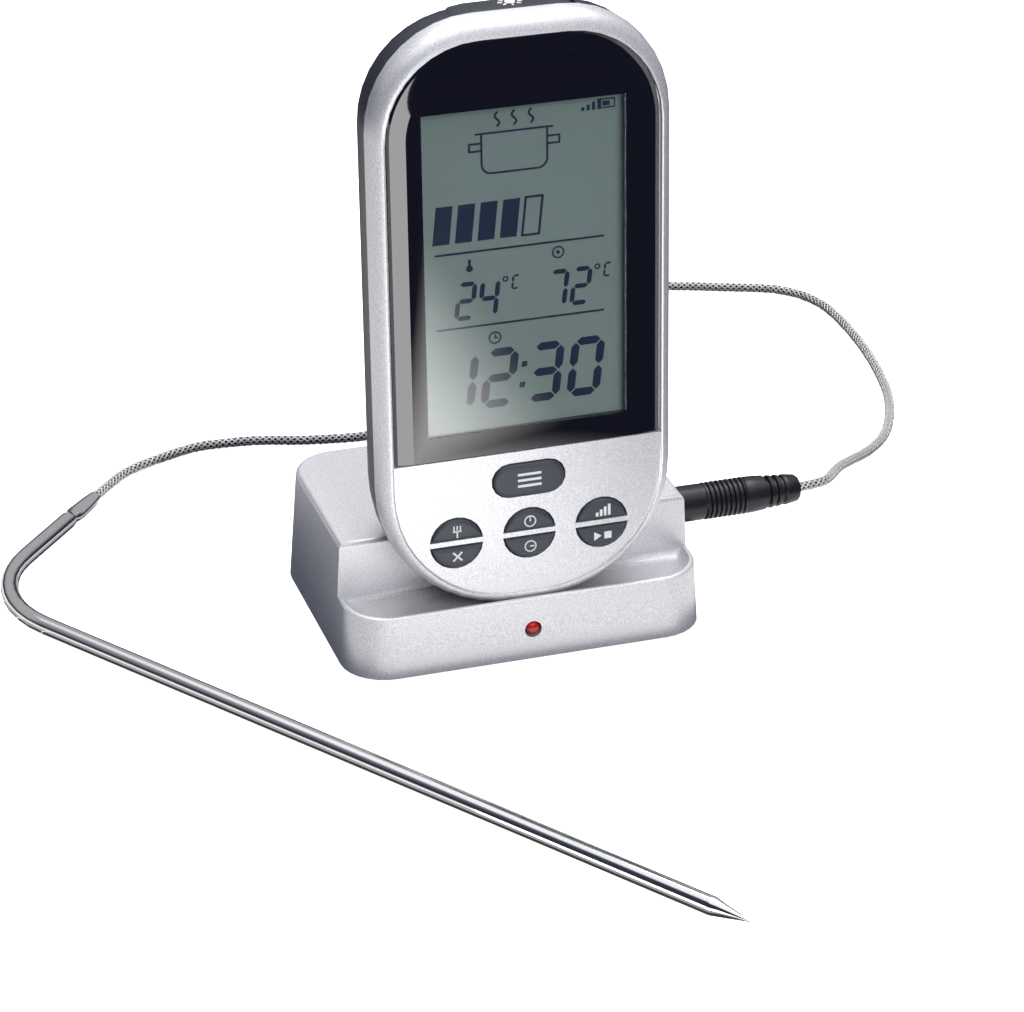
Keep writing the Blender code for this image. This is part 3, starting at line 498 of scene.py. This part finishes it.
def window_ring(bm, depth, inset):
    """Edges round the window at a depth, drawn in from its border by an inset."""
    half = WINDOW_HALF - inset
    corner = half - CORNER_X
    outline = [(-half, WINDOW_LOW), (half, WINDOW_LOW)]
    outline += arc(CORNER_X, CORNER_HEIGHT, corner, 0, 90, CORNER_STEPS)
    outline += arc(-CORNER_X, CORNER_HEIGHT, corner, 90, 180, CORNER_STEPS)
    ring = [bm.verts.new(spot(x, depth, height)) for x, height in outline]
    return [bm.edges.new(pair) for pair in zip(ring, ring[1:] + ring[:1])]


def window_border():
    """The black window with its bevelled border, still closed over the display."""
    bm = bmesh.new()
    rings = [window_ring(bm, depth, inset) for depth, inset in WINDOW_SKIN]
    for near, far in zip(rings, rings[1:]):
        bmesh.ops.bridge_loops(bm, edges=near + far)
    for ring in (rings[0], rings[-1]):
        bmesh.ops.contextual_create(bm, geom=ring)
    border = settle(bm, "display_window_finished", LOOKS["black_window"], "receiver")
    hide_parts("display_window")
    return border


def cut_view(border, view):
    """Cuts the clear view out of the window, ahead of its shading modifier."""
    bm = bmesh.new()
    add_prism(bm, view, *VIEW_CUT)
    bmesh.ops.recalc_face_normals(bm, faces=bm.faces)
    tool = as_object(bm, "view_tool")
    opening = border.modifiers.new("view", "BOOLEAN")
    opening.object = tool
    opening.solver = "EXACT"
    border.modifiers.move(1, 0)
    bake(border)
    bpy.data.objects.remove(tool)
    border.data.set_sharp_from_angle(angle=WINDOW_ANGLE)


def window():
    """The black bevelled window with its clear view cut out, and a thin pane over the display."""
    view = block(-VIEW_HALF, VIEW_LOW, VIEW_HALF, VIEW_HIGH)
    cut_view(window_border(), view)
    bm = bmesh.new()
    add_prism(bm, [(x * PANE_SHRINK, v) for x, v in view], *PANE_SKIN)
    settle(bm, "display_pane", PANE, "receiver")


# Key marks

def mark(name, key, plates):
    """White marks printed on a key."""
    sunk, proud = KEY_PRINT
    bm = bmesh.new()
    for plate in plates:
        add_prism(bm, plate, KEY_FACE + sunk, KEY_FACE - proud)
    settle(bm, name, WHITE_MARK, key)


def menu_lines(v):
    """Three level bars."""
    return [block(-2.6, v + k - 0.28, 2.6, v + k + 0.28) for k in (-1.3, 0.0, 1.3)]


def fork(x, v):
    """A fork with three prongs."""
    bars = [bar for k in (-0.7, 0.0, 0.7) for bar in stroke([(x + k, v + 1.2), (x + k, v)], 0.3)]
    bars += stroke([(x - 0.85, v), (x + 0.85, v)], 0.34)
    return bars + stroke([(x, v), (x, v - 1.3)], 0.36)


def cross(x, v):
    """A slanting cross, whose second line is in two halves."""
    bars = stroke([(x - 0.9, v - 0.9), (x + 0.9, v + 0.9)], 0.4)
    bars += stroke([(x - 0.9, v + 0.9), (x - 0.15, v + 0.15)], 0.4)
    return bars + stroke([(x + 0.15, v - 0.15), (x + 0.9, v - 0.9)], 0.4)


def dial(v, hand):
    """A clock face with one hand, on the middle pair of keys."""
    return circle(0, v, 1.2, 0.3) + stroke(hand, 0.28)


def rising_bars(x, v):
    """Four bars of rising height."""
    foot = v - 1.2
    steps = ((-1.5, 0.9), (-0.6, 1.5), (0.3, 2.1), (1.2, 2.6))
    return [block(x + k, foot, x + k + 0.6, foot + tall) for k, tall in steps]


def play_and_stop(x, v):
    """A triangle and a square."""
    play = [(x - 1.9, v - 1.0), (x - 0.2, v), (x - 1.9, v + 1.0)]
    return [play, block(x + 0.4, v - 0.8, x + 2.0, v + 0.8)]


def key_marks():
    """Plain signs on the seven front keys."""
    high, low = PAIR_HEIGHT + PAIR_STEP, PAIR_HEIGHT - PAIR_STEP
    left, right = -PAIR_PITCH, PAIR_PITCH
    mark("mode_mark", "mode_button", menu_lines(MODE_HEIGHT))
    mark("food_mark", "food_button", fork(left, high))
    mark("clear_mark", "clear_button", cross(left, low))
    mark("minute_mark", "minute_button", dial(high, [(0, high + 0.85), (0, high)]))
    mark("second_mark", "second_button", dial(low, [(0, low), (0.75, low)]))
    mark("doneness_mark", "doneness_button", rising_bars(right, high))
    mark("start_stop_mark", "start_stop_button", play_and_stop(right, low))


def light_mark():
    """A small sun on the crown of the light key."""
    plates = [disc(0, SUN_DEPTH, 1.1, 16)]
    for turn in [math.pi * i / 4 for i in range(8)]:
        ray = [(k * math.cos(turn), SUN_DEPTH + k * math.sin(turn)) for k in (1.7, 2.5)]
        plates += stroke(ray, 0.35)
    bm = bmesh.new()
    for plate in plates:
        add_plate(bm, [spot(x, depth, HEIGHT + SUN_FOOT) for x, depth in plate], UP * SUN_RISE * MM)
    settle(bm, "light_mark", WHITE_MARK, "light_button")


# Cable

def smooth_route(points, count):
    """Evenly spaced places on a smooth line through the given points, and its length."""
    nodes = [Vector(p) for p in points]
    nodes = [2 * nodes[0] - nodes[1]] + nodes + [2 * nodes[-1] - nodes[-2]]
    steps = 20
    fine = []
    for a, b, c, d in zip(nodes, nodes[1:], nodes[2:], nodes[3:]):
        bow, twist = 2 * a - 5 * b + 4 * c - d, 3 * b - a - 3 * c + d
        for i in range(steps):
            t = i / steps
            fine.append(0.5 * (2 * b + (c - a) * t + bow * t * t + twist * t ** 3))
    fine.append(nodes[-2])
    reach = [0.0]
    for before, after in zip(fine, fine[1:]):
        reach.append(reach[-1] + (after - before).length)
    spaced, k = [], 0
    for i in range(count):
        goal = reach[-1] * i / (count - 1)
        while k < len(fine) - 2 and reach[k + 1] < goal:
            k += 1
        part = (goal - reach[k]) / (reach[k + 1] - reach[k])
        spaced.append(fine[k].lerp(fine[k + 1], min(max(part, 0.0), 1.0)))
    return spaced, reach[-1]


def tube(lines, radius, name, material, resolution):
    """Round wires along lines of points, all in one curve."""
    curve = bpy.data.curves.new(name, "CURVE")
    curve.dimensions = "3D"
    curve.bevel_depth = radius * MM
    curve.bevel_resolution = resolution
    curve.use_fill_caps = True
    curve.materials.append(material)
    for points in lines:
        spline = curve.splines.new("POLY")
        spline.points.add(len(points) - 1)
        for slot, point in zip(spline.points, points):
            slot.co = (*(point * MM), 1.0)
    made = bpy.data.objects.new(name, curve)
    bpy.context.scene.collection.objects.link(made)
    return made


def strand(route, turns, hand, carrier):
    """One wire wound round the route, which passes over and under those of the other hand."""
    last = len(route) - 1
    start = 2 * math.pi * carrier / CARRIERS
    phase = math.pi * (carrier % 2) + (0 if hand > 0 else math.pi)
    line = []
    for i, centre in enumerate(route):
        heading = (route[min(i + 1, last)] - route[max(i - 1, 0)]).normalized()
        side = heading.cross(Vector((0, 0, 1))).normalized()
        lift = side.cross(heading)
        wound = 2 * math.pi * turns * (i / last)
        angle = hand * wound + start
        radius = CABLE_RADIUS - STRAND_INSET + STRAND_WEAVE * math.sin(CARRIERS * wound + phase)
        line.append(centre + radius * (math.cos(angle) * side + math.sin(angle) * lift))
    return line


def cable():
    """Insulated core with crossing strands of steel wire round it."""
    core_points, length = smooth_route(CABLE_ROUTE, CORE_POINTS)
    core = tube([core_points], CABLE_RADIUS - CORE_SHRINK, "cable_core", CORE, 3)
    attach(core, "probe_lead")
    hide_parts("probe_cable")
    route = smooth_route(CABLE_ROUTE, STRAND_POINTS)[0]
    turns = length / WIND_LENGTH
    strands = [strand(route, turns, hand, carrier) for hand in (1, -1) for carrier in range(CARRIERS)]
    braid = tube(strands, STRAND_RADIUS, "cable_braid", LOOKS["steel_braid"], 0)
    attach(braid, "probe_lead")
    return core, braid, length


# Studio

def sheet(name, outlines, height, material):
    """Flat stage sheets that shed no light on the object."""
    bm = bmesh.new()
    for corners in outlines:
        bm.faces.new([bm.verts.new((x, y, height)) for x, y in corners])
    made = as_object(bm, name)
    made.data.materials.append(material)
    made.visible_diffuse = False
    return made


def ease(nodes, links, value, start, end):
    """A smooth step of a value from 0 at start to 1 at end."""
    step = nodes.new("ShaderNodeMapRange")
    step.interpolation_type = "SMOOTHSTEP"
    step.inputs["From Min"].default_value = min(start, end)
    step.inputs["From Max"].default_value = max(start, end)
    if start > end:
        step.inputs["To Min"].default_value = 1.0
        step.inputs["To Max"].default_value = 0.0
    links.new(value, step.inputs["Value"])
    return step.outputs["Result"]


def axes(nodes, links, coordinate):
    """The x, y and z of a texture coordinate."""
    where = nodes.new("ShaderNodeTexCoord")
    split = nodes.new("ShaderNodeSeparateXYZ")
    links.new(where.outputs[coordinate], split.inputs["Vector"])
    return split.outputs


def combine(nodes, links, operation, first, second):
    """The output of a maths node on two inputs, each a number or another node's output."""
    made = nodes.new("ShaderNodeMath")
    made.operation = operation
    for socket, value in zip(made.inputs, (first, second)):
        if isinstance(value, float):
            socket.default_value = value
        else:
            links.new(value, socket)
    return made.outputs["Value"]


def sky():
    """Soft light from overhead and from the back, and dim bluish light elsewhere."""
    world = bpy.data.worlds.new("studio")
    world.use_nodes = True
    nodes, links = world.node_tree.nodes, world.node_tree.links
    _, y, z = axes(nodes, links, "Generated")
    rise = ease(nodes, links, z, *BACK_RISE)
    back = combine(nodes, links, "MULTIPLY", rise, ease(nodes, links, y, *BACK_TURN))
    back = combine(nodes, links, "MULTIPLY", back, BACK_SKY)
    above = combine(nodes, links, "MULTIPLY", ease(nodes, links, z, *TOP_RISE), TOP_SKY)
    soft = combine(nodes, links, "MAXIMUM", back, above)
    tint = nodes.new("ShaderNodeValToRGB")
    dim, clear = tint.color_ramp.elements
    dim.color = (*DIM_TINT, 1.0)
    clear.color = (*CLEAR_TINT, 1.0)
    clear.position = CLEAR_FROM
    links.new(soft, tint.inputs["Fac"])
    links.new(tint.outputs["Color"], nodes["Background"].inputs["Color"])
    links.new(combine(nodes, links, "MAXIMUM", soft, DIM_SKY), nodes["Background"].inputs["Strength"])
    bpy.context.scene.world = world


def glowing(name, strength, soft):
    """A light-giving sheet material; soft fades it out towards its slanting right edge."""
    made = bpy.data.materials.new(name)
    made.use_nodes = True
    nodes, links = made.node_tree.nodes, made.node_tree.links
    glow = nodes.new("ShaderNodeEmission")
    glow.inputs["Strength"].default_value = strength
    if soft:
        x, y, _ = axes(nodes, links, "Object")
        slant = combine(nodes, links, "ADD", x, combine(nodes, links, "MULTIPLY", y, EDGE_SLANT))
        fade = ease(nodes, links, slant, EDGE_DARK, EDGE_BRIGHT)
        links.new(combine(nodes, links, "MULTIPLY", fade, strength), glow.inputs["Strength"])
    links.new(glow.outputs["Emission"], nodes["Material Output"].inputs["Surface"])
    return made


def ribbon(line, half):
    """Four-cornered pieces of a band along a line on the floor."""
    pieces = []
    for (ax, ay), (bx, by) in zip(line, line[1:]):
        length = math.hypot(bx - ax, by - ay)
        nx, ny = -(by - ay) / length * half, (bx - ax) / length * half
        corners = [(ax + nx, ay + ny), (ax - nx, ay - ny), (bx - nx, by - ny), (bx + nx, by + ny)]
        pieces.append([(x * MM, y * MM) for x, y in corners])
    return pieces


def cards():
    """Sheets seen only in reflections: before the dock, on the left and under the probe, where a dim strip
    paints the probe's shadow into its reflection.
    """
    rows = (
        ("bright_card", [BRIGHT_CARD], 0.0003, CARD_GLOW),
        ("near_card", [NEAR_CARD], 0.0002, NEAR_GLOW),
        ("left_card", [LEFT_CARD], 0.0001, LEFT_GLOW),
        ("probe_border", ribbon(PROBE_LINE, BORDER_HALF), 0.0004, BORDER_GLOW),
        # The dim strip under the probe is painted shadow, seen only in the probe's reflection.
        ("probe_shadow_card", ribbon(PROBE_LINE, PROBE_SHADOW_HALF), 0.0005, PROBE_SHADOW_GLOW),
    )
    for name, outlines, level, strength in rows:
        card = sheet(name, outlines, level, glowing(name, strength, soft=name == "bright_card"))
        card.visible_camera = False
        card.visible_shadow = False
        card.visible_transmission = False


def lights():
    """Soft lamps before, over and behind the object; only the one above shows in reflections."""
    for name, place, size, power in LIGHTS:
        lamp = bpy.data.lights.new(name, "AREA")
        lamp.size = size
        lamp.energy = power
        made = bpy.data.objects.new(name, lamp)
        made.location = place
        made.visible_glossy = name == "top_light"
        aim = LIGHT_AIM - made.location
        made.rotation_euler = aim.to_track_quat("-Z", "Y").to_euler()
        bpy.context.scene.collection.objects.link(made)


def studio():
    """A white floor that keeps shadows, the sky, the reflection sheets and the lamps."""
    white = surface("white_floor", (0.9, 0.9, 0.9), 0.9)
    shader = white.node_tree.nodes["Principled BSDF"]
    shader.inputs["Emission Color"].default_value = (1, 1, 1, 1)
    shader.inputs["Emission Strength"].default_value = FLOOR_GLOW
    floor = sheet("floor", [block(-FLOOR_HALF, -FLOOR_HALF, FLOOR_HALF, FLOOR_HALF)], FLOOR_LEVEL, white)
    floor.visible_glossy = False
    sky()
    cards()
    lights()


def camera():
    """The photograph's viewpoint."""
    eye = bpy.data.cameras.new("camera")
    eye.sensor_width = EYE_SENSOR
    eye.lens = EYE_LENS
    made = bpy.data.objects.new("camera", eye)
    made.location = EYE_PLACE
    made.rotation_euler = EYE_AIM.to_track_quat("-Z", "Y").to_euler()
    bpy.context.scene.collection.objects.link(made)
    bpy.context.scene.camera = made


window()
display()
key_marks()
light_mark()
core, braid, cable_length = cable()
for node in frame["nodes"]:
    if node not in ("display_window", "probe_cable"):
        finished(node)
studio()
camera()
bpy.context.scene.view_settings.view_transform = "Standard"
